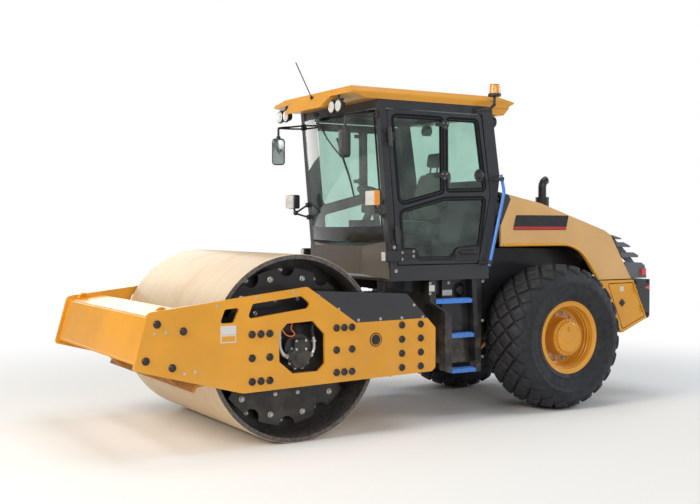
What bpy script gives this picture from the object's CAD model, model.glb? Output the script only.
from math import acos, asin, atan2, copysign, cos, pi, radians, sin, tan

import bmesh
import bpy
from mathutils import Matrix, Vector


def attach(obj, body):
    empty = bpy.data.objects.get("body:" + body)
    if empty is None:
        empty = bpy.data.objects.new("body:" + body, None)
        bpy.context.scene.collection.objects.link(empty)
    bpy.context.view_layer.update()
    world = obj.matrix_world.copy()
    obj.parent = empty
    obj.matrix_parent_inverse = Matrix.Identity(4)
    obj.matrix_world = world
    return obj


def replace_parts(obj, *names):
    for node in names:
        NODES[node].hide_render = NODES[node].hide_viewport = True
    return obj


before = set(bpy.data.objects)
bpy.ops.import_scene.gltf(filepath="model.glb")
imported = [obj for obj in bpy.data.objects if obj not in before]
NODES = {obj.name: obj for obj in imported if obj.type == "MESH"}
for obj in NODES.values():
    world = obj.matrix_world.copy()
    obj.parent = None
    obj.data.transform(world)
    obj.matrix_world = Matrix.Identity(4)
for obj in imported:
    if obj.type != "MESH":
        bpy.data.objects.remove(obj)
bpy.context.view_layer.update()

# Places are written as the machine's own millimetres: x forward from the drum's axis, y left, z up.
MIDDLE_X = -1532.5
MM = 0.001
LEFT, UP, AHEAD, BACK = (0, 1, 0), (0, 0, 1), (1, 0, 0), (-1, 0, 0)
SIDES = (1, -1)

# Sizes that the pieces below share with the frame, in millimetres
PLATE_OUT = 1150
GUARD_OUT = 1146
DRUM_Z = 800
AXLE_X = -3070
AXLE_Z = 728
WHEEL_Y = 824
RIM_R = 330
CAB_Y = 760
HOOD_Y = 750

# The photograph's viewpoint, from a camera fitted to points of the machine
CAMERA_AT = (4062.1, 8800.7, 1821.7)
CAMERA_YAW = radians(30.641)
CAMERA_PITCH = radians(-1.336)
CAMERA_LENS = 53.06
CAMERA_SENSOR = 36

# Lamps: place, aim, size in metres, watts and colour
LAMPS = {
    "key": ((12.0, 2.5, 7.5), (0.8, 0, 1.0), (5, 5), 1250, (1.0, 0.93, 0.82)),
    "side": ((3.0, 13.0, 6.0), (-0.4, 0, 1.2), (8, 5), 450, (1.0, 0.97, 0.93)),
    "top": ((-1.0, 0.0, 11.0), (-0.4, 0, 1.0), (8, 6), 400, (1.0, 1.0, 1.0)),
    "right": ((0.5, -13.0, 5.0), (-0.4, 0, 1.2), (8, 5), 380, (1.0, 0.98, 0.95)),
    "back": ((-10.0, 4.0, 5.0), (-1.5, 0, 1.2), (5, 4), 320, (0.9, 0.95, 1.0)),
}
SKY = (0.86, 0.93, 1.0)
SKY_STRENGTH = 0.27
WHITE = (1, 1, 1)
FLOOR_SIZE = 90
FLOOR_FADE = (3.6, 8.0)


def at(x, y, z):
    """A place of the machine in the frame's metres."""
    return Vector(((x - MIDDLE_X) * MM, y * MM, z * MM))


# Meshes, built in the machine's millimetres
def shrink(outline, inset):
    """An outline moved inwards by inset, corner by corner."""
    if not inset:
        return outline
    n = len(outline)
    area = sum(outline[i - 1][0] * outline[i][1] - outline[i][0] * outline[i - 1][1] for i in range(n))
    turn = 1 if area > 0 else -1
    moved = []
    for i in range(n):
        before, here, after = (Vector(outline[k % n]) for k in (i - 1, i, i + 1))
        u, v = (here - before).normalized(), (after - here).normalized()
        inward = (Vector((-u.y, u.x)) + Vector((-v.y, v.x))) * turn
        moved.append(tuple(here + inward * (inset / max(0.4, 1 + u.dot(v)))))
    return moved


def rounded(corners, steps=5):
    """An outline whose corners, given as (a, b, radius), are arcs."""
    n = len(corners)
    outline = []
    for i in range(n):
        here = Vector(corners[i][:2])
        u = (Vector(corners[i - 1][:2]) - here).normalized()
        v = (Vector(corners[(i + 1) % n][:2]) - here).normalized()
        half = acos(max(-1, min(1, u.dot(v)))) / 2
        radius = corners[i][2]
        middle = here + (u + v).normalized() * radius / sin(half)
        start = here + u * radius / tan(half) - middle
        end = here + v * radius / tan(half) - middle
        turn = atan2(start.x * end.y - start.y * end.x, start.dot(end))
        for k in range(steps + 1):
            angle = turn * k / steps
            c, s = cos(angle), sin(angle)
            outline.append((middle.x + start.x * c - start.y * s, middle.y + start.x * s + start.y * c))
    return outline


def rect(a0, a1, b0, b1, radius, steps):
    """A rectangle with rounded corners."""
    return rounded([(a0, b0, radius), (a1, b0, radius), (a1, b1, radius), (a0, b1, radius)], steps)


def smooth_path(points, steps):
    """Points along a soft curve through the given ones."""
    pts = [Vector(p) for p in points]
    pts = [pts[0] * 2 - pts[1]] + pts + [pts[-1] * 2 - pts[-2]]
    path = []
    for i in range(1, len(pts) - 2):
        a, b, c, d = pts[i - 1:i + 3]
        for k in range(steps):
            t = k / steps
            path.append(0.5 * (2 * b + (c - a) * t + (2 * a - 5 * b + 4 * c - d) * t * t
                               + (3 * b - a - 3 * c + d) * t ** 3))
    return path + [pts[-2]]


def around(cx, cz, radius, count, start=0.0):
    """Spots of (x, z) spaced evenly on a circle, the first one start spaces on."""
    turns = [2 * pi * (i + start) / count for i in range(count)]
    return [(cx + radius * cos(t), cz + radius * sin(t)) for t in turns]


class Form:
    """A mesh under construction. Its y counts outwards on its side, 1 for left and -1 for right."""

    def __init__(self, side=1):
        self.points = []
        self.faces = []
        self.side = side

    def sided(self, place):
        x, y, z = place
        return Vector((x, y * self.side, z))

    def rings(self, rings, caps=True):
        """Skin closed rings of as many points each, with flat ends."""
        base, n = len(self.points), len(rings[0])
        for ring in rings:
            self.points.extend(tuple(p) for p in ring)
        for a in range(len(rings) - 1):
            for i in range(n):
                j = (i + 1) % n
                low, high = base + a * n, base + (a + 1) * n
                self.faces.append((low + i, low + j, high + j, high + i))
        if caps:
            self.faces.append(tuple(range(base, base + n)))
            self.faces.append(tuple(range(base + (len(rings) - 1) * n, base + len(rings) * n)))

    def stack(self, spot, outline, levels):
        """Skin an outline at levels of (inset, lift), with each point put in place by spot(a, b, lift)."""
        self.rings([[spot(a, b, lift) for a, b in shrink(outline, inset)] for inset, lift in levels])

    def slab(self, outline, y0, y1, edge=3.0):
        """An outline in X and Z between two sides, with a chamfered edge."""
        step = edge if y1 > y0 else -edge
        self.stack(lambda x, z, y: (x, y * self.side, z), outline,
                   ((edge, y0), (0, y0 + step), (0, y1 - step), (edge, y1)))

    def block(self, x0, x1, y0, y1, z0, z1, edge=5.0):
        self.slab(rect(x0, x1, z0, z1, edge, 2), y0, y1, edge * 0.6)

    def frame(self, outer, inner, y0, y1):
        """A flat ring between two outlines of as many points."""
        self.rings([[(x, y * self.side, z) for x, z in shape] for shape, y in
                    ((outer, y0), (outer, y1), (inner, y1), (inner, y0), (outer, y0))], caps=False)

    def spin(self, place, axis, profile, steps=32, caps=True):
        """A profile of (radius, way along the axis) turned about the axis."""
        place, axis = self.sided(place), self.sided(axis).normalized()
        side = axis.orthogonal().normalized()
        if abs(axis.z) < 0.9:
            side = Vector(UP).cross(axis).normalized()
        up = axis.cross(side)
        turns = [2 * pi * i / steps for i in range(steps)]
        self.rings([[place + axis * t + (side * cos(a) + up * sin(a)) * max(r, 0.01) for a in turns]
                    for r, t in profile], caps)

    def tube(self, points, radius, sides=10, steps=6):
        """A round bar or hose along a soft curve."""
        path = smooth_path([self.sided(p) for p in points], steps)
        side = (path[1] - path[0]).normalized().orthogonal().normalized()
        turns = [2 * pi * i / sides for i in range(sides)]
        rings = []
        for i, p in enumerate(path):
            ahead = (path[min(i + 1, len(path) - 1)] - path[max(i - 1, 0)]).normalized()
            side = (side - ahead * side.dot(ahead)).normalized()
            up = ahead.cross(side)
            rings.append([p + (side * cos(a) + up * sin(a)) * radius for a in turns])
        self.rings(rings)

    def dome(self, place, axis, radius, height):
        profile = ((1, 0), (1, 0.25), (0.93, 0.55), (0.72, 0.84), (0.4, 0.97), (0, 1))
        self.spin(place, axis, [(radius * r, height * t) for r, t in profile], 24)

    def bolt(self, place, axis, radius, height):
        """A hexagon head on its washer."""
        washer = ((1.55, 0), (1.55, 0.18), (1.4, 0.24))
        head = ((1, 0.2), (1, 0.88), (0.86, 1))
        for profile, steps in ((washer, 20), (head, 6)):
            self.spin(place, axis, [(radius * r, height * t) for r, t in profile], steps)

    def bolts(self, spots, y, radius, height):
        """Bolts that face outwards at spots of (x, z)."""
        for x, z in spots:
            self.bolt((x, y, z), LEFT, radius, height)

    def piece(self, name, finish, body="rear_frame", crease=35, weld=0.0):
        """Make the object, dress it and let it ride on a body."""
        mesh = bpy.data.meshes.new(name)
        mesh.from_pydata([at(*p) for p in self.points], [], self.faces)
        work = bmesh.new()
        work.from_mesh(mesh)
        if weld:
            bmesh.ops.remove_doubles(work, verts=work.verts, dist=weld)
        bmesh.ops.recalc_face_normals(work, faces=work.faces)
        work.to_mesh(mesh)
        work.free()
        mesh.shade_smooth()
        mesh.set_sharp_from_angle(angle=radians(crease))
        mesh.materials.append(MATS[finish])
        obj = bpy.data.objects.new(name, mesh)
        bpy.context.scene.collection.objects.link(obj)
        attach(obj, body)
        return obj


def forms(count, side=1):
    return [Form(side) for _ in range(count)]


def both(*pair):
    """Each side in turn: what is added to the forms meanwhile goes on that side."""
    for side in SIDES:
        for form in pair:
            form.side = side
        yield side
    for form in pair:
        form.side = 1


# Camera, light, world and floor
def make_camera():
    flat = cos(CAMERA_PITCH)
    ahead = Vector((-sin(CAMERA_YAW) * flat, -cos(CAMERA_YAW) * flat, sin(CAMERA_PITCH)))
    data = bpy.data.cameras.new("camera")
    data.sensor_width = CAMERA_SENSOR
    data.lens = CAMERA_LENS
    camera = bpy.data.objects.new("camera", data)
    camera.location = at(*CAMERA_AT)
    camera.rotation_euler = ahead.to_track_quat("-Z", "Y").to_euler()
    bpy.context.scene.collection.objects.link(camera)
    bpy.context.scene.camera = camera


def make_stage():
    """Soft lamps, and a world that is white where it is seen and dim where it lights."""
    scene = bpy.context.scene
    scene.view_settings.view_transform = "Standard"
    scene.world = bpy.data.worlds.new("studio")
    scene.world.use_nodes = True
    scene.world.node_tree.nodes.clear()
    w = Nodes(scene.world.node_tree)
    ray = w.node("LightPath").outputs
    seen = w.math("MAXIMUM", ray["Is Camera Ray"], ray["Is Transmission Ray"])
    soft = w.node("Background", {"Color": SKY, "Strength": SKY_STRENGTH}).outputs[0]
    white = w.node("Background", {"Color": WHITE, "Strength": 1.0}).outputs[0]
    w.node("OutputWorld", {0: w.layer(seen, soft, white)})
    for name, (place, aim, size, watts, colour) in LAMPS.items():
        data = bpy.data.lights.new(name, "AREA")
        data.shape = "RECTANGLE"
        data.size, data.size_y = size
        data.energy = watts
        data.color = colour
        lamp = bpy.data.objects.new(name, data)
        lamp.location = place
        lamp.rotation_euler = (Vector(aim) - Vector(place)).to_track_quat("-Z", "Y").to_euler()
        scene.collection.objects.link(lamp)


def make_floor():
    """Pale floor that keeps the shadow and fades to the white background further out."""
    bpy.ops.mesh.primitive_plane_add(size=FLOOR_SIZE, location=(0, 0, -0.002))
    floor = bpy.context.object
    floor.name = "floor"
    s = Shade("floor", Base_Color=(0.86, 0.86, 0.85), Roughness=0.85)
    ray = s.node("LightPath").outputs
    seen = s.math("MAXIMUM", ray["Is Camera Ray"], ray["Is Glossy Ray"])
    seen = s.math("MAXIMUM", seen, ray["Is Transmission Ray"])
    x, y, z = s.split()
    white = s.node("Emission", {"Color": WHITE}).outputs[0]
    s.show(s.layer(s.times(seen, s.ramp(s.reach(x, y), *FLOOR_FADE)), s.main.outputs[0], white))
    floor.data.materials.append(s.mat)


# Materials
class Nodes:
    """Short calls for the nodes of one tree."""

    def __init__(self, tree):
        self.tree = tree

    def feed(self, socket, value):
        if isinstance(value, bpy.types.NodeSocket):
            self.tree.links.new(value, socket)
        elif socket.type == "RGBA" and len(value) == 3:
            socket.default_value = (*value, 1)
        else:
            socket.default_value = value

    def node(self, kind, inputs=None, **settings):
        """A node with its settings, and its inputs, by name or number, linked or set."""
        n = self.tree.nodes.new("ShaderNode" + kind)
        for key, value in settings.items():
            setattr(n, key, value)
        for key, value in (inputs or {}).items():
            self.feed(n.inputs[key], value)
        return n

    def math(self, op, a, b=0.0):
        return self.node("Math", {0: a, 1: b}, operation=op).outputs[0]

    def times(self, a, b):
        return self.math("MULTIPLY", a, b)

    def layer(self, share, under, over):
        return self.node("MixShader", {0: share, 1: under, 2: over}).outputs[0]


class Shade(Nodes):
    """A node material on one Principled shader."""

    def __init__(self, name, **sockets):
        self.mat = bpy.data.materials.new(name)
        self.mat.use_nodes = True
        super().__init__(self.mat.node_tree)
        self.main = self.tree.nodes["Principled BSDF"]
        self.out = self.tree.nodes["Material Output"]
        self.place = self.node("TexCoord").outputs["Object"]
        for key, value in sockets.items():
            self.put(key.replace("_", " "), value)

    def put(self, key, value):
        self.feed(self.main.inputs[key], value)

    def show(self, shader):
        self.tree.links.new(shader, self.out.inputs["Surface"])

    def split(self):
        return self.node("SeparateXYZ", {0: self.place}).outputs

    def join(self, x, y, z):
        return self.node("CombineXYZ", {0: x, 1: y, 2: z}).outputs[0]

    def reach(self, a, b):
        """Distance of (a, b) from nought."""
        return self.math("SQRT", self.math("ADD", self.times(a, a), self.times(b, b)))

    def about(self, cx, cz):
        """x, y and z in metres from an axis that lies across the machine at cx and cz millimetres."""
        x, y, z = self.split()
        return self.math("SUBTRACT", x, (cx - MIDDLE_X) * MM), y, self.math("SUBTRACT", z, cz * MM)

    def noise(self, scale, detail=4.0, rough=0.55, vector=None):
        return self.node("TexNoise", {"Vector": vector or self.place, "Scale": scale, "Detail": detail,
                                      "Roughness": rough}).outputs["Fac"]

    def cells(self, scale):
        return self.node("TexVoronoi", {"Vector": self.place, "Scale": scale}).outputs["Distance"]

    def ramp(self, value, low, high, a=0.0, b=1.0):
        return self.node("MapRange", {"Value": value, "From Min": low, "From Max": high, "To Min": a,
                                      "To Max": b}, interpolation_type="SMOOTHSTEP").outputs["Result"]

    def mix(self, share, a, b):
        return self.node("Mix", {"Factor": share, 6: a, 7: b}, data_type="RGBA").outputs[2]

    def patches(self, scale, detail, low=0.3, high=0.7, a=0.0, b=1.0, rough=0.55):
        """Soft patches of noise, from a to b."""
        return self.ramp(self.noise(scale, detail, rough), low, high, a, b)

    def drift(self, colour, dark, scale, detail):
        """A colour with patches of a darker tone."""
        return self.mix(self.patches(scale, detail), tone(colour, dark), colour)

    def bump(self, height, strength, distance):
        self.put("Normal", self.node("Bump", {"Strength": strength, "Distance": distance,
                                              "Height": height}).outputs[0])

    def edges(self, radius):
        """1 along a piece's edges and 0 on its flats."""
        soft = self.node("Bevel", {"Radius": radius}, samples=4).outputs[0]
        flat = self.node("NewGeometry").outputs["Normal"]
        dot = self.node("VectorMath", {0: soft, 1: flat}, operation="DOT_PRODUCT").outputs["Value"]
        return self.ramp(dot, 0.98, 0.86)


def tone(colour, gain, lift=0.0):
    """A colour made darker or lighter."""
    return tuple(min(1, c * gain + lift) for c in colour)


DUST = (0.46, 0.36, 0.24)
RUST = (0.25, 0.12, 0.05)


def painted(name, colour, rough=0.34, dust=0.16, wear=0.35, second=None):
    """Machine paint: slow drift in tone, orange peel, dust low down and worn edges."""
    s = Shade(name, Coat_Weight=0.25, Coat_Roughness=0.12)
    base = s.drift(colour, 0.88, 1.7, 3)
    if second:
        base = s.mix(second[0](s), base, second[1])
    worn = s.times(s.edges(0.006), s.patches(22, 5, 0.42, 0.62))
    base = s.mix(s.times(worn, wear), base, tone(colour, 0.65, 0.16))
    low = s.ramp(s.split()[2], 1.15, 0.25)
    grime = s.times(s.times(low, s.patches(6, 6, 0.38, rough=0.65)), dust)
    s.put("Base Color", s.mix(grime, base, DUST))
    s.put("Roughness", s.patches(9, 5, 0.25, 0.75, rough - 0.06, rough + 0.1))
    s.bump(s.noise(260, 2), 0.06, 0.0006)
    return s.mat


def hood_strip(s):
    """The dark slanted band on the hood's front edge."""
    x, y, z = s.split()
    slope = 165 / 345
    line = s.math("ADD", x, s.times(z, slope))
    edge = (-2595 - MIDDLE_X) * MM + 2.158 * slope
    return s.ramp(line, edge - 0.002, edge + 0.002)


def steel_drum(name):
    """Rolled drum: bright circumferential wear over warm bare steel, dark paint inside."""
    s = Shade(name)
    x, y, z = s.about(0, DRUM_Z)
    radius = s.reach(x, z)
    outside = s.ramp(radius, 0.7955, 0.7975)
    round_way = s.join(s.times(s.math("ARCTAN2", z, x), 0.9), s.times(y, 26), 0.0)
    streak = s.noise(1.0, 6, 0.6, round_way)
    fine = s.noise(9.0, 3, 0.6, round_way)
    steel = s.mix(s.ramp(streak, 0.3, 0.7), (0.66, 0.51, 0.325), (0.73, 0.59, 0.41))
    rust = s.times(s.patches(2.2, 5, 0.47, 0.72, rough=0.6), s.ramp(fine, 0.3, 0.7, 0.5, 1.0))
    steel = s.mix(s.times(rust, 0.55), steel, (0.60, 0.35, 0.15))
    inner = s.mix(s.patches(7, 5, 0.35), (0.022, 0.021, 0.022), (0.05, 0.042, 0.036))
    rim_tone = s.mix(s.patches(30, 4, 0.4, 0.6), (0.06, 0.055, 0.055), (0.13, 0.11, 0.1))
    dark = s.mix(s.ramp(radius, 0.757, 0.760), inner, rim_tone)
    s.put("Base Color", s.mix(outside, dark, steel))
    s.put("Metallic", s.times(outside, 0.35))
    s.put("Roughness", s.ramp(fine, 0.3, 0.7, 0.36, 0.5))
    s.bump(s.math("ADD", s.times(streak, 0.6), fine), 0.05, 0.0012)
    return s.mat


def bare_steel(name, colour, rust, rough):
    """Bare or plated metal with specks of rust."""
    s = Shade(name, Metallic=0.85)
    spots = s.patches(14, 6, 0.45, rough=0.65)
    base = s.drift(colour, 0.75, 3, 3)
    s.put("Base Color", s.mix(s.times(spots, rust), base, RUST))
    s.put("Roughness", s.patches(25, 4, 0.3, 0.7, rough - 0.08, rough + 0.16))
    s.bump(s.noise(120, 3), 0.15, 0.0008)
    return s.mat


def moulded(name, colour, rough=0.5, grain=420, depth=0.2):
    """Moulded plastic or powder coat with a fine grain."""
    s = Shade(name)
    base = s.drift(colour, 0.8, 2.4, 3)
    low = s.times(s.ramp(s.split()[2], 1.1, 0.3), s.patches(5, 5, 0.4))
    base = s.mix(s.times(low, 0.22), base, DUST)
    s.put("Base Color", s.mix(s.times(s.edges(0.005), 0.4), base, tone(colour, 1.5, 0.03)))
    s.put("Roughness", s.patches(12, 4, 0.3, 0.7, rough - 0.07, rough + 0.08))
    s.bump(s.cells(grain), depth, 0.0005)
    return s.mat


def rubber(name):
    """Tyre rubber, worn grey on the blocks and dusty in patches."""
    s = Shade(name)
    x, y, z = s.about(AXLE_X, AXLE_Z)
    top = s.ramp(s.reach(x, z), 0.700, 0.724)
    base = s.mix(s.patches(5, 5), (0.007, 0.008, 0.011), (0.015, 0.017, 0.022))
    worn = s.mix(s.patches(40, 4, 0.4, 0.65), (0.016, 0.017, 0.021), (0.034, 0.033, 0.033))
    base = s.mix(s.times(top, 0.75), base, worn)
    s.put("Base Color", s.mix(s.patches(11, 6, 0.58, 0.8, 0, 0.18, 0.7), base, (0.12, 0.10, 0.075)))
    s.put("Roughness", s.patches(18, 4, 0.3, 0.7, 0.55, 0.78))
    s.bump(s.noise(170, 3), 0.25, 0.0012)
    return s.mat


def clear_glass(name, tint=(0.80, 0.91, 0.87)):
    """Tinted pane: what is behind shows straight through, with a mirror sheen and a film of dust on top."""
    s = Shade(name, Base_Color=WHITE, Metallic=1.0, Roughness=0.02)
    shade = s.mix(s.patches(1.1, 2, 0.35, 0.65), tint, tone(tint, 0.94))
    through = s.node("BsdfTransparent", {"Color": shade}).outputs[0]
    film = s.node("BsdfDiffuse", {"Color": (0.66, 0.78, 0.72)}).outputs[0]
    sheen = s.node("Fresnel", {"IOR": 1.5}).outputs[0]
    front = s.math("SUBTRACT", 1.0, s.node("NewGeometry").outputs["Backfacing"])
    dust = s.patches(2.3, 5, 0.3, 0.75, 0.02, 0.13, 0.6)
    dusty = s.layer(s.times(dust, front), through, film)
    s.show(s.layer(s.times(sheen, front), dusty, s.main.outputs[0]))
    return s.mat


def lens(name, colour, pitch=90):
    """Moulded lamp lens with fine ribs under a clear coat."""
    s = Shade(name, Roughness=0.18, Coat_Weight=1.0, Coat_Roughness=0.03)
    x, y, z = s.split()
    ribs = s.math("SINE", s.times(z, pitch * 6.283))
    ribs = s.times(ribs, s.math("SINE", s.times(y, pitch * 6.283)))
    s.put("Base Color", s.mix(s.ramp(ribs, -0.6, 0.6), tone(colour, 0.7), tone(colour, 1.25, 0.04)))
    s.bump(ribs, 0.35, 0.0015)
    return s.mat


def woven(name, colour, threads=2600):
    """Seat cloth with a plain weave."""
    s = Shade(name, Roughness=0.86, Sheen_Weight=0.35, Sheen_Roughness=0.4)
    x, y, z = s.split()
    across = s.math("SINE", s.times(y, threads))
    along = s.math("SINE", s.times(s.math("ADD", x, z), threads))
    weave = s.times(across, along)
    shade = s.drift(colour, 0.75, 6, 4)
    s.put("Base Color", s.mix(s.ramp(weave, -0.7, 0.7), tone(colour, 0.7), shade))
    s.bump(weave, 0.3, 0.0008)
    return s.mat


YELLOW = (0.790, 0.345, 0.012)
HOOD_YELLOW = (0.735, 0.435, 0.165)
BLACK = (0.012, 0.012, 0.014)
MATS = {
    "yellow": painted("yellow_paint", YELLOW),
    "hood": painted("hood_paint", HOOD_YELLOW, second=(hood_strip, (0.028, 0.029, 0.032))),
    "charcoal": painted("charcoal_paint", (0.022, 0.023, 0.028), rough=0.40, dust=0.35, wear=0.25),
    "black": painted("black_paint", BLACK, rough=0.45, dust=0.4, wear=0.25),
    "cowl": painted("cowl_paint", (0.085, 0.073, 0.060), rough=0.38, dust=0.35, wear=0.25),
    "scraper": painted("scraper_paint", (0.56, 0.235, 0.016), rough=0.5, dust=0.55, wear=0.8),
    "blue": painted("blue_paint", (0.058, 0.245, 0.78), rough=0.4, dust=0.2),
    "red": painted("red_paint", (0.55, 0.02, 0.015)),
    "drum": steel_drum("drum_steel"),
    "cast": painted("cast_dark", (0.018, 0.017, 0.018), rough=0.5, dust=0.12, wear=0.2),
    "zinc": bare_steel("zinc_steel", (0.62, 0.61, 0.58), rust=0.08, rough=0.3),
    "oxide": bare_steel("oxide_steel", (0.055, 0.055, 0.06), rust=0.1, rough=0.38),
    "chrome": bare_steel("rod_chrome", (0.8, 0.8, 0.8), rust=0.0, rough=0.16),
    "rubber": rubber("tyre_rubber"),
    "seal": moulded("seal_rubber", (0.014, 0.014, 0.015), 0.6, 300),
    "plastic": moulded("black_plastic", (0.022, 0.022, 0.024), 0.48),
    "glass": clear_glass("tinted_glass"),
    "mirror": bare_steel("mirror_face", (0.30, 0.345, 0.33), rust=0.0, rough=0.1),
    "red_lens": lens("red_lens", (0.62, 0.018, 0.012)),
    "amber_lens": lens("amber_lens", (0.86, 0.30, 0.015)),
    "white_lens": lens("white_lens", (0.62, 0.62, 0.59)),
    "cloth": woven("seat_cloth", (0.16, 0.155, 0.145)),
    "grille": painted("grille_paint", (0.115, 0.125, 0.14), rough=0.4, dust=0.2, wear=0.3),
    "border": moulded("glass_border", (0.004, 0.004, 0.005), 0.14, 300, 0.02),
    "orange": moulded("orange_sleeve", (0.75, 0.16, 0.02), 0.45),
    "display": moulded("display_face", (0.012, 0.016, 0.02), 0.15, 700, 0.02),
    "plate": moulded("blank_plate", (0.66, 0.66, 0.65), 0.4, 500, 0.05),
}

NODE_MATS = {
    "yellow": "side_plates front_beam rear_beam tool_boxes box_lid_left box_lid_right cab_roof rim_left "
              "rim_right",
    "hood": "hood_shell",
    "charcoal": "guard_panels counterweight cab_floor cab_frame door_left door_right",
    "grille": "tail_grille",
    "black": "side_tanks inner_panels step_frames exhaust_stack steer_barrel_left steer_barrel_right",
    "cast": "drum_carriers swivel_block rear_frame rear_axle engine_block drum_spiders",
    "drum": "drum_shell",
    "cowl": "cab_cowl",
    "scraper": "scrapers",
    "chrome": "steer_rod_left steer_rod_right",
    "blue": "step_treads handrails",
    "glass": "cab_glass door_left_glass door_right_glass",
    "plastic": "mirrors signal_lamps work_lamps steering_console aerial beacon",
    "red_lens": "tail_lamps",
    "rubber": "tyre_left tyre_right",
    "cloth": "seat",
}
# Nodes that are left with their own edges, and the rounding of the others
SHARP = ("cab_glass door_left_glass door_right_glass drum_shell tyre_left tyre_right rim_left rim_right "
         "handrails seat drum_spiders").split()
EDGE_WIDTH = 0.004
EDGE_ANGLE = radians(40)


def dress_nodes():
    """Give each CAD node its finish and a fine rounded edge."""
    for key, names in NODE_MATS.items():
        for name in names.split():
            obj = NODES[name]
            obj.data.materials.clear()
            obj.data.materials.append(MATS[key])
            if name not in SHARP:
                edge = obj.modifiers.new("edge", "BEVEL")
                edge.width = EDGE_WIDTH
                edge.segments = 2
                edge.limit_method = "ANGLE"
                edge.angle_limit = EDGE_ANGLE
                edge.use_clamp_overlap = True
                edge.harden_normals = False


# Drum end
def plate_fasteners():
    """Dome bolts, screws and the blank plates on the drum's frame."""
    domes, screws, pale, inner, round_plate, ring = forms(6)
    spots = [(1273, 1071), (1056, 1006), (1366, 788), (1149, 722)]
    for xs, zs in (((461, 381, 300), (950, 755, 562)), ((-336, -413, -490), (965, 775, 582))):
        spots += [(x, z) for k, z in enumerate(zs) for x in (xs[::2] if k == 1 else xs)]
    spots += [(x, z) for x in (-1008, -1210) for z in (957, 831, 705, 579)]
    small = [(422, 1250), (74, 1283), (766, 1200), (1293, 1002), (1202, 1004), (1048, 673), (958, 676)]
    guard = [(-164, 1245), (-360, 1124), (-559, 1022), (-784, 1022), (-1009, 1022), (-1234, 1022),
             (-1140, 1132)]
    for _ in both(domes, screws):
        for x, z in spots:
            domes.dome((x, PLATE_OUT, z), LEFT, 32, 19)
        screws.bolts(small, PLATE_OUT, 8, 6)
        screws.bolts(guard, GUARD_OUT, 9, 8)
    domes.piece("plate_dome_bolts", "oxide", "drum_frame")
    screws.piece("plate_screws", "zinc", "drum_frame")
    pale.block(603, 740, PLATE_OUT, PLATE_OUT + 2, 961, 1032, 1.5)
    pale.block(603, 740, PLATE_OUT, PLATE_OUT + 2, 893, 957, 1.5)
    inner.block(612, 731, PLATE_OUT + 1, PLATE_OUT + 3, 902, 948, 1.2)
    pale.piece("blank_plates", "plate", "drum_frame")
    inner.piece("blank_plate_field", "yellow", "drum_frame")
    emblem = (-732, PLATE_OUT, 842)
    round_plate.spin(emblem, LEFT, [(62, 0), (62, 1.6), (60, 2.2), (0, 2.2)], 40)
    ring.spin(emblem, LEFT, [(52, 2.0), (52, 3.2), (46, 3.2), (46, 2.0)], 40)
    round_plate.piece("blank_round_plate", "oxide", "drum_frame")
    ring.piece("blank_round_ring", "yellow", "drum_frame")


MOTOR_X, MOTOR_Z = -2, 728
MOTOR_FLANGE = [(104, 0), (104, 14), (96, 18), (92, 20), (90, 44), (78, 50), (40, 52), (0, 52)]


def drum_motors():
    """A hydraulic motor in the window of each side plate, with its elbows, hoses and wire."""
    body, fittings, hoses, wire, bolts = forms(5)
    for _ in both(body, fittings, hoses, wire, bolts):
        body.spin((MOTOR_X, 1072, MOTOR_Z), LEFT, MOTOR_FLANGE)
        body.block(-68, 52, 1074, 1128, 790, 882, 8)
        body.block(-40, 30, 1110, 1136, 808, 862, 6)
        body.block(-112, -70, 1080, 1118, 715, 775, 8)
        body.block(66, 118, 1080, 1118, 712, 778, 8)
        body.spin((0, 1110, MOTOR_Z), LEFT, [(46, 10), (46, 22), (40, 26), (0, 26)], 24)
        bolts.bolts(around(MOTOR_X, MOTOR_Z, 97, 9, 0.25), 1086, 8, 12)
        bolts.bolts([(-52, 800), (38, 800), (38, 872), (-52, 872)], 1128, 7, 8)
        fittings.tube([(183, 1096, 960), (186, 1098, 900), (182, 1100, 826), (152, 1102, 762),
                       (108, 1102, 744)], 17, 12)
        fittings.tube([(-136, 1096, 905), (-143, 1098, 850), (-140, 1100, 795), (-122, 1102, 758),
                       (-100, 1102, 744)], 15, 12)
        for place, axis in (((185, 1097, 905), UP), ((-142, 1098, 862), UP), ((120, 1102, 746), (1, 0, 0.2)),
                            ((-112, 1102, 748), (-1, 0, 0.2))):
            fittings.spin(place, axis, [(20, -11), (23, -9), (23, 9), (20, 11)], 6)
        hoses.tube([(183, 1096, 950), (170, 1094, 1030), (90, 1092, 1092), (-120, 1091, 1112),
                    (-420, 1091, 1098), (-760, 1091, 1040), (-900, 1080, 985), (-1010, 1020, 951)], 16, 12)
        hoses.tube([(-136, 1096, 895), (-130, 1094, 985), (-190, 1092, 1058), (-420, 1091, 1062),
                    (-740, 1091, 1010), (-880, 1070, 965), (-1010, 960, 951)], 16, 12)
        wire.tube([(182, 1092, 1010), (156, 1100, 964), (120, 1104, 923), (72, 1106, 912), (46, 1106, 932),
                   (75, 1100, 973), (60, 1092, 1030)], 6, 8)
    body.piece("drum_motors", "plastic", "drum_frame")
    fittings.piece("motor_elbows", "zinc", "drum_frame")
    hoses.piece("motor_hoses", "seal", "drum_frame")
    wire.piece("motor_wire", "orange", "drum_frame")
    bolts.piece("motor_bolts", "zinc", "drum_frame")


def front_panel():
    """Pressed skin on the front beam's sloping face, left plain."""
    skin = Form()
    low, high = Vector((1428, 0, 752)), Vector((1322, 0, 1132))
    up = (high - low).normalized()
    out = Vector((up.z, 0, -up.x))
    outline = rect(-1104, 1104, 12, (high - low).length - 8, 26, 6)
    skin.stack(lambda u, v, lift: low + up * v + Vector((0, u, 0)) + out * lift, outline,
               ((0, -1.0), (0, 4.0), (3.0, 8.0), (8.0, 10.5), (14.0, 11.0)))
    skin.piece("front_skin", "yellow", "drum_frame", crease=50)


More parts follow.
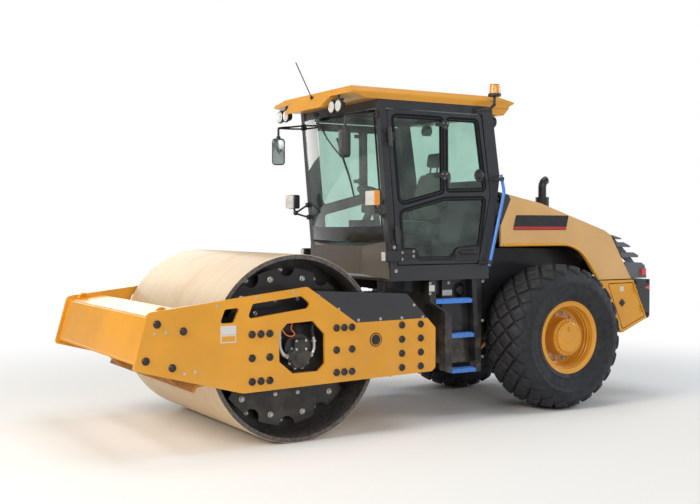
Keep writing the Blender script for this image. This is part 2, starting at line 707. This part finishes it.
def drum_bolts():
    """Buffer bolts on the drive discs and web bolts in their scallops."""
    bolts = Form()
    for _ in both(bolts):
        bolts.bolts(around(0, DRUM_Z, 600, 12, 0.5), 865, 17, 16)
        bolts.bolts(around(0, DRUM_Z, 655, 12), 750, 15, 16)
        bolts.bolts(around(0, DRUM_Z, 420, 12, 0.5), 865, 12, 12)
    bolts.piece("drum_bolts", "zinc", "drum")


# Wheels
TREAD = smooth_path([(0, 728, 0), (60, 727, 0), (120, 723, 0), (170, 715, 0), (210, 702, 0), (240, 684, 0),
                     (262, 660, 0), (278, 630, 0), (288, 598, 0), (294, 560, 0)], 8)
TREAD_COUNT = 24
TREAD_ROW = 110.0
TREAD_LAST = 322.0
# Levels of a tread block: its size, and its share of the groove's depth
TREAD_LEVELS = ((0.92, 1.08), (0.83, 0.30), (0.80, 0.10), (0.74, 0.0), (0.40, -0.06))
TYRE_WALL = [(294, 560), (294, 548), (297, 545), (297, 536), (293, 532), (288, 500), (276, 450), (266, 420),
             (269, 416), (268, 406), (262, 402), (248, 374), (238, 354), (224, 339), (205, RIM_R + 2),
             (0, RIM_R + 2)]
DISH = [(318, 60), (318, 221), (345, 232), (364, 235.6), (366, 240), (363, 244), (357, 244), (350, 237),
        (340, 228), (326, 222), (316, 212), (312, 200), (311, 184), (302, 177), (301, 150), (293, 143),
        (292, 116), (284, 108), (282, 86), (270, 75), (250, 68), (250, 62)]
HUB = [(188, 64), (192, 72), (190, 84), (184, 90), (183, 188), (186, 194), (186, 214), (182, 219),
       (156, 219.5), (153, 222), (152, 239), (148, 243), (120, 246), (112, 244), (60, 245), (56, 250),
       (0, 251)]


def tread_point(s, drop):
    """(y, radius) of the tread s millimetres round its section from the crown, sunk by drop."""
    left = abs(s)
    for a, b in zip(TREAD, TREAD[1:]):
        step = (b - a).length
        if left <= step or b is TREAD[-1]:
            break
        left -= step
    way = (b - a).normalized()
    spot = a + way * left + Vector((way.y, -way.x, 0)) * drop
    return copysign(spot.x, s), spot.y


def groove(s):
    """Depth of the grooves, less on the shoulders."""
    return 25 - 15 * max(0.0, min(1.0, (abs(s) - 220) / 110))


def tyre(side, body, node):
    """Diamond blocks that wrap over round shoulders, 24 round in 5 rows, on a ringed carcass."""
    form = Form()
    hub = Vector((AXLE_X, side * WHEEL_Y, AXLE_Z))
    pitch = 2 * pi / TREAD_COUNT

    def spot(angle, s, drop):
        y, radius = tread_point(s, drop)
        return hub + Vector((radius * cos(angle), side * y, radius * sin(angle)))

    for k in range(-2, 3):
        corners = [(0.5 * pitch, k * TREAD_ROW), (0.0, (k + 1) * TREAD_ROW), (-0.5 * pitch, k * TREAD_ROW),
                   (0.0, (k - 1) * TREAD_ROW)]
        outline = []
        for (a0, s0), (a1, s1) in zip(corners, corners[1:] + corners[:1]):
            for t in (0.05, 0.2, 0.4, 0.6, 0.8, 0.95):
                s = s0 + (s1 - s0) * t
                outline.append((a0 + (a1 - a0) * t, max(-TREAD_LAST, min(TREAD_LAST, s))))
        ca, cs = (sum(p[i] for p in outline) / len(outline) for i in (0, 1))
        for i in range(TREAD_COUNT):
            mid = (i + 0.5 + (0.5 if k % 2 else 0.0)) * pitch
            rings = []
            for grow, share in TREAD_LEVELS:
                grown = [(mid + ca + (a - ca) * grow, cs + (s - cs) * grow) for a, s in outline]
                rings.append([spot(a, s, groove(s) * share) for a, s in grown])
            form.rings(rings)
    floor = [tread_point(s, groove(s)) for s in range(0, 331, 15)]
    half = [(r, y) for y, r in floor + TYRE_WALL]
    form.spin(hub, (0, side, 0), [(r, -y) for r, y in half[::-1]] + half, 96, caps=False)
    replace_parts(form.piece("tread_" + node, "rubber", body, crease=42), node)


def rim(side, body):
    """Stepped dish inside the rim, wheel studs and the bolts of the planetary hub."""
    tag = body.split("_")[1]
    hub = (AXLE_X, WHEEL_Y, AXLE_Z)
    dish, studs, plugs = forms(3, side)
    dish.spin(hub, LEFT, DISH, 96, caps=False)
    dish.spin(hub, LEFT, HUB, 64, caps=False)
    dish.piece("rim_dish_" + tag, "yellow", body, crease=40)
    places = around(AXLE_X, AXLE_Z, 230, 14)
    studs.bolts(places, WHEEL_Y + 66, 17, 24)
    for x, z in places:
        studs.spin((x, WHEEL_Y + 66, z), LEFT, [(9, 20), (9, 38), (7, 40)], 12)
    studs.piece("wheel_studs_" + tag, "zinc", body)
    plugs.bolts(around(AXLE_X, AXLE_Z, 169, 24, 0.5), WHEEL_Y + 219, 9, 11)
    plugs.bolts(around(AXLE_X, AXLE_Z, 132, 8, 0.25), WHEEL_Y + 244, 9, 8)
    plugs.bolt((AXLE_X, WHEEL_Y + 250, AXLE_Z + 84), LEFT, 12, 9)
    plugs.piece("hub_plugs_" + tag, "yellow", body)


# Cab
PANES = {
    "front": [(-1240, 2040, 60), (-1733, 2165, 30), (-1725, 2866, 40), (-1160, 2866, 40)],
    "rear": [(-1787, 2178, 30), (-2240, 2192, 40), (-2138, 2866, 40), (-1780, 2866, 40)],
    "low": [(-1250, 1975, 60), (-1757, 2103, 200), (-2240, 2115, 40), (-2175, 1642, 30), (-1915, 1612, 40),
            (-1840, 1530, 40), (-1455, 1530, 40), (-1425, 1610, 30), (-1285, 1612, 30)],
}


def door_trim(side, body):
    """Printed pane borders, seals, pane hinges, latch knob and handle of one door."""
    tag = body.split("_")[1]
    border, seal, fittings, screws = forms(4, side)
    for corners in PANES.values():
        outline = rounded(corners, 4)
        border.frame(outline, shrink(outline, 22), 745.2, 746.4)
        border.frame(outline, shrink(outline, 22), 734.8, 733.6)
        border.frame(shrink(outline, -20), shrink(outline, -0.5), CAB_Y - 0.5, CAB_Y + 1.6)
        seal.frame(shrink(outline, -1), shrink(outline, 9), 746, 757)
    border.piece("pane_borders_" + tag, "border", body)
    seal.piece("pane_seals_" + tag, "seal", body)
    for x, z in ((-1751, 2808), (-1744, 2324)):
        fittings.spin((x, CAB_Y, z), LEFT, [(46, 0), (46, 8), (40, 13), (14, 15), (0, 15)], 28)
        fittings.block(x + 6, x + 96, 744, 768, z - 20, z + 20, 8)
        screws.bolts(around(x, z, 27, 3, 0.25), CAB_Y + 12, 6, 6)
    knob = [(62, 0), (62, 7), (50, 14), (40, 16), (36, 34), (28, 40), (0, 41)]
    fittings.spin((-2180, 745, 2335), LEFT, knob, 28)
    fittings.slab(rounded([(-1880, 1500, 20), (-1880, 1612, 20), (-1925, 1632, 20), (-2172, 1640, 24),
                           (-2168, 1500, 20)], 4), CAB_Y, CAB_Y + 7, 3)
    fittings.tube([(-1940, 766, 1586), (-1955, 788, 1586), (-2020, 794, 1586), (-2090, 788, 1586),
                   (-2106, 766, 1586)], 13, 12)
    fittings.spin((-2142, CAB_Y + 6, 1572), LEFT, [(17, 0), (17, 5), (13, 8), (0, 8)], 24)
    fittings.slab(rounded([(-1232, 1510, 8), (-1232, 1612, 8), (-1418, 1618, 8), (-1418, 1540, 8)], 3),
                  CAB_Y, CAB_Y + 9, 3)
    screws.bolts([(-1262, 1530), (-1262, 1592), (-1390, 1556), (-1390, 1600)], CAB_Y + 9, 8, 7)
    fittings.piece("door_fittings_" + tag, "plastic", body)
    screws.piece("door_screws_" + tag, "zinc", body)


LEAN = radians(4.95)
SCREEN_R = 2686.9
SCREEN_X, SCREEN_Z = -1118, 1702
SCREEN_MIDDLE = -2596.9


def on_screen(y, t, lift=0.0):
    """A point on the curved windscreen, y across and t up, lifted off its outer face."""
    turn = asin(y / SCREEN_R)
    local = SCREEN_MIDDLE + (SCREEN_R + lift) * cos(turn)
    return Vector((SCREEN_X + local * cos(LEAN) + t * sin(LEAN), y + lift * sin(turn),
                   SCREEN_Z - local * sin(LEAN) + t * cos(LEAN)))


def windscreen_trim():
    """Black printed border of the windscreen, and the wiper with its two pivots."""
    band, wiper, blade = forms(3)

    def strip(y0, y1, t0, t1, across):
        ys = [y0 + (y1 - y0) * i / across for i in range(across + 1)]
        loop = [(y, t0) for y in ys] + [(y, t1) for y in ys[::-1]]
        lifts = (0.3, 1.3)
        band.rings([[on_screen(y, t, lift) for y, t in loop] for lift in lifts], caps=False)
        for lift in lifts:
            low = len(band.points)
            high = low + len(ys)
            band.points.extend(tuple(on_screen(y, t, lift)) for t in (t0, t1) for y in ys)
            band.faces.extend((low + i, low + i + 1, high + i + 1, high + i) for i in range(across))

    def bar(form, radius, sides, *points):
        form.tube([on_screen(*p) for p in points], radius, sides)

    strip(-686, 686, 2, 138, 24)
    strip(-686, 686, 1192, 1222, 24)
    strip(660, 686, 138, 1192, 2)
    strip(-686, -672, 138, 1192, 2)
    band.piece("screen_border", "border", weld=0.00002)
    for y in (-303, -260):
        bar(wiper, 6, 8, (y, 1262, 20), (y + 60, 1190, 34), (-100 + (y + 280) * 0.4, 1090, 34),
            (-36 + (y + 280) * 0.3, 1005, 30))
        wiper.spin(on_screen(y, 1262, -6), (1, 0, 0.1), [(17, 0), (17, 30), (12, 38), (0, 38)], 20)
    bar(wiper, 7, 8, (-40, 1010, 28), (70, 910, 24), (203, 806, 22))
    bar(wiper, 6, 8, (120, 1000, 16), (203, 806, 22), (285, 600, 16), (322, 440, 12))
    bar(blade, 5, 6, (118, 1006, 6), (203, 806, 8), (285, 600, 7), (324, 430, 6))
    wiper.piece("wiper_arm", "plastic")
    blade.piece("wiper_blade", "seal")


BEACON = [(58, -4), (58, 6), (57, 20), (54, 62), (50, 82), (38, 90), (16, 94), (0, 94)]


def cab_outside():
    """Lower hinge covers, the cowl's seam, cab bolts, lamp lenses and bezels, beacon dome and base."""
    dark, screws, white, amber = forms(4)
    for _ in both(dark, screws, white, amber):
        dark.block(-1222, -1046, 762, 828, 1508, 1608, 10)
        white.block(-1046, -1030, 768, 822, 1516, 1600, 7)
        screws.bolts([(-1180, 1640), (-1200, 1420)], CAB_Y, 11, 9)
        for y in (464, 588):
            white.spin((-675, y, 2942), AHEAD, [(52, 0), (52, 3), (44, 8), (24, 12), (0, 13)], 32)
            bezel = [(61, 0), (63, 6), (63, 16), (58, 20), (53, 18), (53, 10)]
            dark.spin((-690, y, 2942), AHEAD, bezel, 36, caps=False)
        white.spin((-2499, 560, 2885), BACK, [(48, 0), (48, 3), (40, 8), (20, 11), (0, 12)], 32)
        white.block(-906, -884, 722, 868, 2026, 2162, 10)
        amber.block(-946, -886, 866, 884, 2026, 2162, 9)
    dark.block(-1006, -990, -178, -146, 1500, 1652, 4)
    amber.spin((-2298, 830, 3131), UP, BEACON, 36)
    dark.spin((-2298, 830, 3100), UP, [(60, 4), (64, 8), (64, 26), (60, 31), (50, 32)], 36)
    amber.block(-742, -704, -760, -716, 3066, 3084, 5)
    dark.piece("cab_dark_trim", "plastic")
    screws.piece("cab_bolts", "zinc")
    white.piece("lamp_lenses_white", "white_lens")
    amber.piece("lamp_lenses_amber", "amber_lens")


def signal_lamps():
    """Lamp housings on posts over V brackets from the front pillars."""
    form = Form()
    for _ in both(form):
        form.block(-974, -904, 718, 880, 2022, 2166, 16)
        form.tube([(-946, 800, 2030), (-950, 800, 2004), (-962, 800, 1984)], 11, 10)
        form.spin((-964, 800, 1954), UP, [(8, 0), (20, 4), (25, 18), (25, 34), (20, 46), (8, 50)], 20)
        form.tube([(-970, 798, 1984), (-1030, 762, 2030), (-1068, 736, 2062)], 10, 10)
        form.tube([(-970, 798, 1972), (-1030, 764, 1950), (-1084, 736, 1934)], 10, 10)
        form.block(-1092, -1058, 724, 764, 2036, 2086, 6)
        form.block(-1104, -1070, 724, 764, 1910, 1960, 6)
    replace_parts(form.piece("signal_lamp_housings", "plastic"), "signal_lamps")


RAIL_Y = 806
RAIL = [(-2402, 2345), (-2420, 2268), (-2438, 2186), (-2428, 2120), (-2390, 1968), (-2330, 1730),
        (-2272, 1500), (-2258, 1450)]


def handrails():
    """Bent blue rails beside the doors, on black clamps."""
    rail, clamps = forms(2)
    for _ in both(rail, clamps):
        rail.tube([(x, RAIL_Y, z) for x, z in RAIL], 16, 14)
        for x, z in ((-2412, 2302), (-2268, 1484)):
            clamps.tube([(x, RAIL_Y, z), (x + 24, 792, z), (x + 60, 780, z), (x + 74, 758, z)], 13, 10)
            clamps.spin((x, RAIL_Y, z), (0.22, 0, -1), [(20, -20), (23, -17), (23, 17), (20, 20)], 20)
            clamps.block(x + 52, x + 100, 757, 768, z - 24, z + 24, 6)
    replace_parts(rail.piece("bent_handrails", "blue"), "handrails")
    clamps.piece("handrail_clamps", "plastic")


MIRROR_X, MIRROR_Y, MIRROR_Z = -700, 675, 2600
MIRROR_TURNS = (178.0, 62.0)


def mirrors():
    """Round-ended mirror housings on twin-bar arms, the right one turned in to look along the drum."""
    shell, face = forms(2)
    outline = rect(-66, 66, -136, 136, 34, 6)
    for _, turn in zip(both(shell), MIRROR_TURNS):
        hub = shell.sided((MIRROR_X, MIRROR_Y, MIRROR_Z))
        way = Matrix.Rotation(radians(turn), 3, "Z")

        def spot(u, v, lift):
            return hub + way @ Vector((lift, u, v))

        shell.stack(spot, outline, ((26, -44), (12, -40), (4, -30), (0, -12), (0, 20), (5, 24)))
        face.stack(spot, outline, ((9, 22), (9, 25.5), (11, 26.5)))
        for lift in (0, 34):
            shell.tube([(-1012 + lift * 0.3, 725, 2885 - lift), (-860, 700, 2864 - lift * 0.6),
                        (-716, 677, 2846 - lift * 0.2), (MIRROR_X, MIRROR_Y, 2828 - lift * 0.2)], 9, 10)
        shell.tube([(MIRROR_X, MIRROR_Y, z) for z in (2846, 2790, 2725)], 11, 10)
        shell.spin((MIRROR_X, MIRROR_Y, 2738), UP, [(22, -8), (22, 14), (16, 22), (11, 24)], 20)
        shell.block(-1030, -996, 708, 742, 2836, 2900, 6)
    piece = shell.piece("mirror_housings", "plastic", crease=40)
    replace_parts(piece, "mirrors")
    face.piece("mirror_faces", "mirror")


PAD_STEPS = 14
PAD_RINGS = 9
PAD_CAPS = 6
PAD_VOXEL = 0.006
PAD_PRESSURE = 4
PAD_FRAMES = 20
PAD_MOST = 0.022


def cushion(name, size, place, lean=0.0, channels=3):
    """A crowned pad whose sides pull in between its corners, with sewn channels."""
    lx, ly, lz = size
    form = Form()
    rings = []
    for a in range(PAD_RINGS):
        w = -1 + 2 * a / (PAD_RINGS - 1)
        bulge = (1 - abs(w) ** 2.6) ** 0.38 if abs(w) < 1 else 0.0
        grow = 0.80 + 0.20 * bulge
        ring = []
        for k in range(4 * PAD_STEPS):
            edge, t = divmod(k, PAD_STEPS)
            t = -1 + 2 * t / PAD_STEPS
            u, v = ((t, -1), (1, t), (-t, 1), (-1, -t))[edge]
            corner = (abs(u) ** 5 + abs(v) ** 5) ** 0.2
            pull = 1 - 0.025 * (1 - abs(t) ** 2)
            ring.append((u / corner * lx / 2 * grow * pull, v / corner * ly / 2 * grow * pull, w * lz / 2))
        rings.append(ring)
    for side in (-1, 1):
        edge = rings[0] if side < 0 else rings[-1]
        caps = []
        for j in range(1, PAD_CAPS):
            f = 1 - j / PAD_CAPS
            rise = side * (lz / 2 + 16 * (1 - f * f))
            cap = []
            for x, y, z in edge:
                seam = 1 - abs(sin(pi * (channels * y / ly))) ** 0.4
                cap.append((x * f, y * f, rise - side * 5 * seam * (1 - f)))
            caps.append(cap)
        rings = caps[::-1] + rings if side < 0 else rings + caps
    turn = Matrix.Rotation(radians(lean), 3, "Y")
    form.rings([[Vector(place) + turn @ Vector(p) for p in ring] for ring in rings])
    piece = form.piece(name, "cloth", crease=60)
    soften(piece)
    return piece


def soften(piece):
    """Blow the pad up a little as cloth, cap the movement and keep the result."""
    scene = bpy.context.scene
    start = piece.data.copy()
    work = bpy.data.objects.new("pad_work", start)
    scene.collection.objects.link(work)
    bpy.context.view_layer.objects.active = work
    start.remesh_voxel_size = PAD_VOXEL
    bpy.ops.object.voxel_remesh()
    rest = [v.co.copy() for v in start.vertices]
    cloth = work.modifiers.new("cloth", "CLOTH").settings
    cloth.use_pressure = True
    cloth.uniform_pressure_force = PAD_PRESSURE
    cloth.effector_weights.gravity = 0
    for number in range(1, PAD_FRAMES + 1):
        scene.frame_set(number)
    blown = bpy.data.meshes.new_from_object(work.evaluated_get(bpy.context.evaluated_depsgraph_get()))
    for v, home in zip(blown.vertices, rest):
        move = v.co - home
        if move.length > PAD_MOST:
            v.co = home + move * (PAD_MOST / move.length)
    blown.materials.clear()
    blown.materials.append(MATS["cloth"])
    blown.shade_smooth()
    bpy.data.objects.remove(work)
    piece.data = blown
    scene.frame_set(1)
    extra = piece.modifiers.new("smooth", "SUBSURF")
    extra.levels = extra.render_levels = 1


SEAT_LEAN = -10.0


def seat():
    """Driver's seat: sprung base, two pads, headrest and armrests."""
    tilt = Matrix.Rotation(radians(SEAT_LEAN), 3, "Y")

    def on_back(x, y, z):
        """A place in the leaning back's own directions."""
        return Vector((-2060, 0, 1860)) + tilt @ Vector((x, y, z))

    pad = cushion("seat_cushion", (470, 500, 100), (-1838, 0, 1812))
    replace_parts(pad, "seat")
    cushion("seat_back", (520, 480, 90), on_back(-5, 0, 285), SEAT_LEAN + 90)
    cushion("seat_headrest", (150, 240, 70), on_back(-5, 0, 672), SEAT_LEAN + 90, 1)
    shell = Form()
    shell.block(-2030, -1650, -205, 205, 1441, 1500, 12)
    for k in range(5):
        fold = 4 * (k % 2)
        shell.block(-2012 + fold, -1668 - fold, -190, 190, 1502 + 40 * k, 1540 + 40 * k, 14)
    shell.block(-2075, -1600, -245, 245, 1702, 1758, 14)
    for _ in both(shell):
        shell.block(-2046, -1722, 264, 328, 2044, 2092, 16)
        shell.tube([(-2072, 262, 1900), (-2060, 292, 1960), (-2010, 296, 2046)], 16, 10)
        shell.tube([on_back(-5, 60, 540), on_back(-5, 60, 620)], 9, 8, 2)
    outline = rounded([(-246, 10, 40), (246, 10, 40), (232, 560, 70), (-232, 560, 70)], 6)
    shell.stack(lambda u, v, lift: on_back(-66 + lift, u, v), outline, ((12, -10), (2, 0), (2, 14), (8, 20)))
    shell.piece("seat_shell", "plastic")


def cab_inside():
    """Lever pod, display, dash panel, floor mat, roof lining and rear panel."""
    trim, screen, levers = forms(3)
    trim.block(-1750, -1560, -470, -345, 1980, 2070, 18)
    trim.tube([(-1790, -400, 1460), (-1760, -405, 1700), (-1700, -405, 1990)], 34, 12)
    levers.tube([(-1640, -408, 2066), (-1630, -408, 2130), (-1615, -408, 2190)], 11, 10)
    knob = [(14, 0), (24, 14), (27, 42), (22, 64), (10, 74), (0, 75)]
    levers.spin((-1614, -408, 2180), (0.2, 0, 1), knob, 24)
    trim.block(-1392, -1352, 165, 395, 1960, 2130, 12)
    trim.tube([(-1330, 120, 1860), (-1340, 200, 1930), (-1366, 270, 2000)], 15, 10)
    screen.block(-1395, -1390.5, 182, 378, 1982, 2112, 3)
    trim.block(-1235, -1155, -640, 640, 1640, 1712, 20)
    trim.block(-2110, -1300, -640, 640, 1441, 1452, 6)
    trim.block(-2400, -1130, -655, 655, 2978, 3002, 8)
    trim.block(-2395, -2330, -600, 600, 1500, 1980, 20)
    trim.piece("cab_lining", "plastic")
    screen.piece("display_face", "display")
    levers.piece("travel_lever", "seal")


# Engine end
TREADS = ((-2095, -1668, 1132), (-2118, -1856, 795), (-2142, -1860, 453))
TOOTH_PITCH = 42
FILTER_CUP = [(30, 0), (30, 16), (44, 20), (44, 104), (38, 116), (14, 120), (14, 128), (0, 128)]
TANK_OUT = 640


def steps_and_tanks():
    """Grip teeth on the treads, step bolts, blank plates, filler caps and filter cups."""
    teeth, bolts, pale, dark = forms(4)
    for _ in both(teeth, bolts, pale, dark):
        for x0, x1, z in TREADS:
            count = round((x1 - x0) / TOOTH_PITCH)
            for i in range(count):
                x = x0 + (x1 - x0) * (i + 0.5) / count
                for y in (660, 694, 728):
                    teeth.spin((x, y, z - 1), UP, [(13, 0), (13, 3), (10, 8), (7, 9), (6, 4)], 12)
                teeth.spin((x, 748, z - 19), LEFT, [(9, 0), (8, 4), (5, 5), (0, 5)], 12)
        bolts.bolts([(-1600, 1296), (-1600, 1196)], 740, 10, 9)
        bolts.bolts([(x, z) for x in (-1890, -2310) for z in (1290, 540, 900)], TANK_OUT, 11, 10)
        pale.block(-1652, -1588, 740, 742, 1216, 1276, 1.4)
        pale.block(-1930, -1815, TANK_OUT, TANK_OUT + 2, 1164, 1218, 1.4)
        dark.spin((-2066, 580, 1205), LEFT, [(52, 0), (52, 16), (46, 20), (46, 34), (40, 38), (0, 38)], 32)
        dark.block(-2100, -2032, 612, 624, 1197, 1213, 4)
        dark.spin((-1209, 500, 1341), (0, 0, -1), FILTER_CUP, 28)
    teeth.piece("tread_grips", "blue")
    bolts.piece("step_bolts", "zinc")
    pale.piece("blank_service_plates", "plate")
    dark.piece("filler_caps", "plastic")


ARCH_X, ARCH_Z, ARCH_R = -3268, 1220, 430


def hood_trim():
    """Blank plaques with a plain red stripe, and the rolled lip along the hood's edge and wheel arch."""
    field, stripe, lip = forms(3)
    arch = [radians(a) for a in (90, 100, 110, 120, 130, 141.4)]
    edge = [(-2478, 1650), (-2700, 1650), (-3000, 1650)]
    edge += [(ARCH_X + ARCH_R * cos(a), ARCH_Z + ARCH_R * sin(a)) for a in arch]
    edge += [(-3686, 1386), (-3762, 1290)]
    plaque = rounded([(-2600, 1800, 12), (-2640, 1950, 12), (-3340, 1950, 12), (-3300, 1800, 12)], 4)
    line = rounded([(-2606, 1806, 6), (-2614, 1834, 6), (-3302, 1834, 6), (-3296, 1806, 6)], 3)
    for _ in both(field, stripe, lip):
        field.slab(plaque, HOOD_Y - 0.5, HOOD_Y + 4, 1.5)
        stripe.slab(line, HOOD_Y + 3.4, HOOD_Y + 5.4, 0.8)
        lip.tube([(x, HOOD_Y - 3, z) for x, z in edge], 15, 12)
    field.piece("blank_plaques", "oxide", "hood")
    stripe.piece("plaque_stripes", "red", "hood")
    lip.piece("hood_lips", "yellow", "hood")


TAIL_X = -4527
LATCH_X, LATCH_Z, LATCH_HALF = -4109, 1018, 46


def tail_trim():
    """The tail's reflectors, bolts, blank plate and plug, and the lids' latches and blank plates."""
    dark, red, bolts = forms(3)
    corner = rounded([(-4446, 1172, 3), (-4522, 1198, 3), (-4522, 1146, 3)], 3)
    for _ in both(red, bolts):
        red.slab(corner, HOOD_Y - 0.5, HOOD_Y + 3, 1)
        red.block(-4531, -4526, 600, 690, 1170, 1206, 2)
        bolts.bolts([(-4500, 1236), (-4500, 880), (-4320, 1236)], HOOD_Y, 14, 12)
        for y in (200, 420):
            for z in (905, 1215):
                bolts.bolt((TAIL_X, y, z), BACK, 18, 15)
    outline = rect(-180, 180, 980, 1120, 30, 5)
    dark.stack(lambda y, z, lift: (TAIL_X - lift, y, z), outline, ((0, 0), (0, 4), (3, 6)))
    dark.spin((-4526, 0, 900), BACK, [(60, 0), (60, 12), (52, 16), (34, 16), (30, 8), (0, 8)], 32)
    dark.piece("tail_blank_plate", "oxide")
    red.piece("reflectors", "red_lens")
    bolts.piece("tail_bolts", "oxide")
    ways = ((-1, 0), (0, 1), (1, 0), (0, -1))
    diamond = rounded([(LATCH_X + LATCH_HALF * a, LATCH_Z + LATCH_HALF * b, 8) for a, b in ways], 3)
    label = rect(-4132, -4080, 1140, 1192, 4, 3)
    for side, tag in ((1, "left"), (-1, "right")):
        latch, plate = forms(2, side)
        latch.slab(diamond, HOOD_Y, HOOD_Y + 7, 2)
        latch.spin((LATCH_X, HOOD_Y + 6, LATCH_Z), LEFT, [(15, 0), (15, 5), (11, 8), (0, 8)], 24)
        latch.piece("lid_latch_" + tag, "plastic", "lid_" + tag)
        plate.slab(label, HOOD_Y, HOOD_Y + 1.6, 0.6)
        plate.piece("lid_blank_plate_" + tag, "plate", "lid_" + tag)


def lock_bar():
    """Red bar that pins the two frames together for transport, stowed on the rear frame."""
    bar = Form()
    bar.block(-1735, -1575, 424, 446, 706, 786, 10)
    bar.spin((-1712, 446, 746), LEFT, [(26, 0), (26, 14), (20, 18), (0, 18)], 20)
    bar.spin((-1600, 446, 746), LEFT, [(22, 0), (22, 10), (16, 14), (0, 14)], 20)
    bar.piece("lock_bar", "red")


make_camera()
make_stage()
make_floor()
dress_nodes()
plate_fasteners()
drum_motors()
front_panel()
drum_bolts()
for turn_side, turn_name in ((1, "left"), (-1, "right")):
    tyre(turn_side, "wheel_" + turn_name, "tyre_" + turn_name)
    rim(turn_side, "wheel_" + turn_name)
    door_trim(turn_side, "door_" + turn_name)
windscreen_trim()
cab_outside()
signal_lamps()
handrails()
mirrors()
seat()
cab_inside()
steps_and_tanks()
hood_trim()
tail_trim()
lock_bar()
